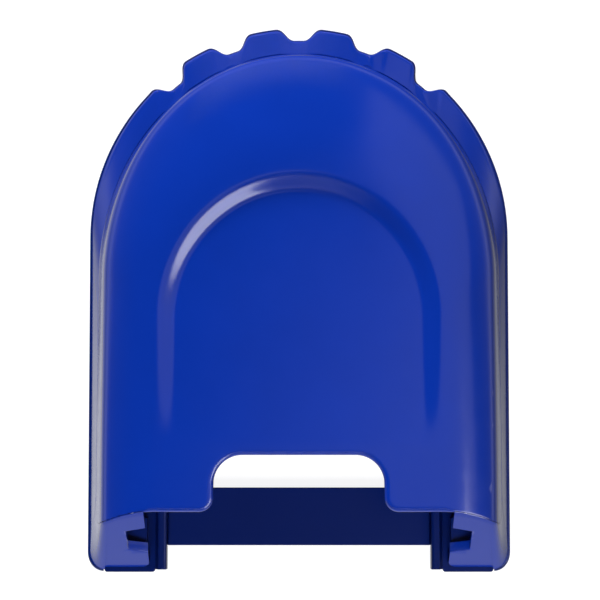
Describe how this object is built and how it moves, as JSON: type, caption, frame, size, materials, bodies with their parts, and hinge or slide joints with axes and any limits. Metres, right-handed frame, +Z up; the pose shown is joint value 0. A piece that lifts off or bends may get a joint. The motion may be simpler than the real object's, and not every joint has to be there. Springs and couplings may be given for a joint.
{
  "type": "manual vacuum head",
  "caption": "Arched pool vacuum head: domed hood with sunken panel, scalloped front skirt, open rear throat, horseshoe sole on rollers with brush strips.",
  "frame": {"origin": "on the floor under the middle of the bounding box, where the rollers stand", "axes": "+Z up, +Y towards the scalloped front edge, +X to the right seen from above with the front away; X = 0 is the plane of symmetry"},
  "size_m": [0.2, 0.26, 0.05],
  "materials": {
    "shell": "glossy moulded royal blue plastic, finely textured in the sunken panel",
    "frame": "satin moulded navy plastic",
    "roller": "matte dark grey",
    "bristle": "white nylon bristle",
    "steel": "stainless steel"
  },
  "bodies": {
    "head": {"top_cover": "shell", "skirt": "shell", "sole_plate": "frame", "left_guide_rail": "frame", "right_guide_rail": "frame", "rear_cross_bar": "frame", "front_left_axle": "steel", "front_right_axle": "steel", "rear_left_axle": "steel", "rear_right_axle": "steel", "front_brush_block": "frame", "front_bristles": "bristle", "left_brush_block": "frame", "left_bristles": "bristle", "right_brush_block": "frame", "right_bristles": "bristle", "sole_screw_1": "steel", "sole_screw_2": "steel", "sole_screw_3": "steel", "sole_screw_4": "steel", "sole_screw_5": "steel", "sole_screw_6": "steel", "rail_screw_1": "steel", "rail_screw_2": "steel", "rail_screw_3": "steel", "rail_screw_4": "steel"},
    "front_left_wheel": {"front_left_roller": "roller"},
    "front_right_wheel": {"front_right_roller": "roller"},
    "rear_left_wheel": {"rear_left_roller": "roller"},
    "rear_right_wheel": {"rear_right_roller": "roller"}
  },
  "joints": [
    {"name": "front_left_roller_spin", "type": "hinge", "parent": "head", "child": "front_left_wheel", "pos_m": [-0.052, 0.072, 0.0065], "axis": [1, 0, 0], "continuous": true},
    {"name": "front_right_roller_spin", "type": "hinge", "parent": "head", "child": "front_right_wheel", "pos_m": [0.052, 0.072, 0.0065], "axis": [1, 0, 0], "continuous": true},
    {"name": "rear_left_roller_spin", "type": "hinge", "parent": "head", "child": "rear_left_wheel", "pos_m": [-0.0825, -0.095, 0.0065], "axis": [1, 0, 0], "continuous": true},
    {"name": "rear_right_roller_spin", "type": "hinge", "parent": "head", "child": "rear_right_wheel", "pos_m": [0.0825, -0.095, 0.0065], "axis": [1, 0, 0], "continuous": true}
  ]
}
